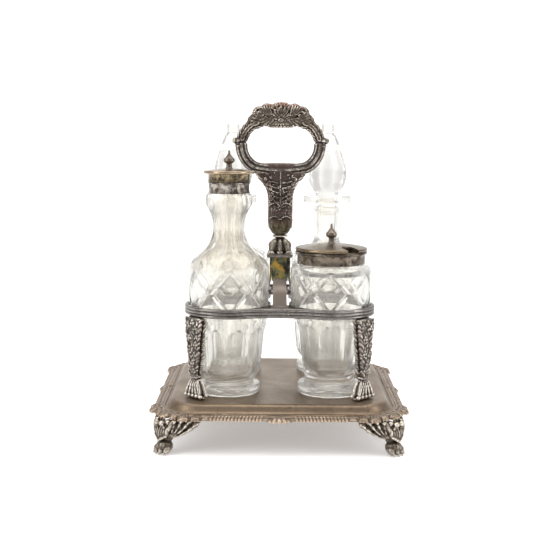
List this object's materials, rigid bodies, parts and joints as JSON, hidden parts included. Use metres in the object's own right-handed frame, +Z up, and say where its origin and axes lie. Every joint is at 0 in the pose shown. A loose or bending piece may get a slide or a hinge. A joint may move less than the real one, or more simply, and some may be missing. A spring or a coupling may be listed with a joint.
{
  "type": "cruet set",
  "caption": "Square plated stand on paw feet with a ring handle, holding stoppered bottles, a capped caster and a lidded mustard jar for the table.",
  "frame": {"origin": "on the ground under the middle of the tray", "axes": "+Z up, the ring handle faces -Y (the front), +X to the right seen from the front"},
  "size_m": [0.171, 0.171, 0.2255],
  "materials": {
    "tray_top": "dull tarnished silver plate, brown-grey",
    "border_silver": "worn silver plate with copper showing on the edges",
    "cast_silver": "cast silver plate, dark in the hollows and bright on the ridges",
    "band_silver": "reeded silver plate, darkened",
    "tube_brass": "plate worn and tarnished to brass and green",
    "handle_dark": "dark brown tarnish with bright worn ridges",
    "collar_silver": "silver plate, scratched and dark-spotted",
    "lid_gilt": "golden-brown tarnished silver plate",
    "nut_brass": "dull brass",
    "cut_glass": "clear cut glass with a faint grey-green tint"
  },
  "bodies": {
    "stand": {"tray_plate": "tray_top", "tray_border": "border_silver", "foot_front_left": "cast_silver", "foot_front_right": "cast_silver", "foot_back_left": "cast_silver", "foot_back_right": "cast_silver", "support_front_left": "cast_silver", "support_front_right": "cast_silver", "support_back_left": "cast_silver", "support_back_right": "cast_silver", "support_nuts": "nut_brass", "ring_band": "band_silver", "hoop_front_left": "band_silver", "hoop_front_right": "band_silver", "hoop_back_left": "band_silver", "hoop_back_right": "band_silver", "handle_spider": "tube_brass", "handle_flange": "handle_dark", "handle_base": "handle_dark", "handle_stem": "handle_dark", "handle_ring": "handle_dark", "handle_stud": "nut_brass", "handle_nut": "nut_brass"},
    "caster": {"caster_glass": "cut_glass", "caster_collar": "collar_silver"},
    "caster_top": {"caster_cap": "lid_gilt", "caster_finial": "lid_gilt"},
    "mustard_jar": {"mustard_glass": "cut_glass", "mustard_collar": "collar_silver"},
    "mustard_top": {"mustard_lid": "lid_gilt", "mustard_finial": "lid_gilt"},
    "oil_bottle": {"oil_glass": "cut_glass"},
    "oil_plug": {"oil_stopper": "cut_glass"},
    "vinegar_bottle": {"vinegar_glass": "cut_glass"},
    "vinegar_plug": {"vinegar_stopper": "cut_glass"}
  },
  "joints": [
    {"name": "caster_lift", "type": "slide", "parent": "stand", "child": "caster", "axis": [0, 0, 1], "range_m": [0, 0.075]},
    {"name": "caster_cap_off", "type": "slide", "parent": "caster", "child": "caster_top", "axis": [0, 0, 1], "range_m": [0, 0.03]},
    {"name": "mustard_lift", "type": "slide", "parent": "stand", "child": "mustard_jar", "axis": [0, 0, 1], "range_m": [0, 0.075]},
    {"name": "mustard_lid_off", "type": "slide", "parent": "mustard_jar", "child": "mustard_top", "axis": [0, 0, 1], "range_m": [0, 0.03]},
    {"name": "oil_lift", "type": "slide", "parent": "stand", "child": "oil_bottle", "axis": [0, 0, 1], "range_m": [0, 0.075]},
    {"name": "oil_stopper_out", "type": "slide", "parent": "oil_bottle", "child": "oil_plug", "axis": [0, 0, 1], "range_m": [0, 0.03]},
    {"name": "vinegar_lift", "type": "slide", "parent": "stand", "child": "vinegar_bottle", "axis": [0, 0, 1], "range_m": [0, 0.075]},
    {"name": "vinegar_stopper_out", "type": "slide", "parent": "vinegar_bottle", "child": "vinegar_plug", "axis": [0, 0, 1], "range_m": [0, 0.03]}
  ]
}
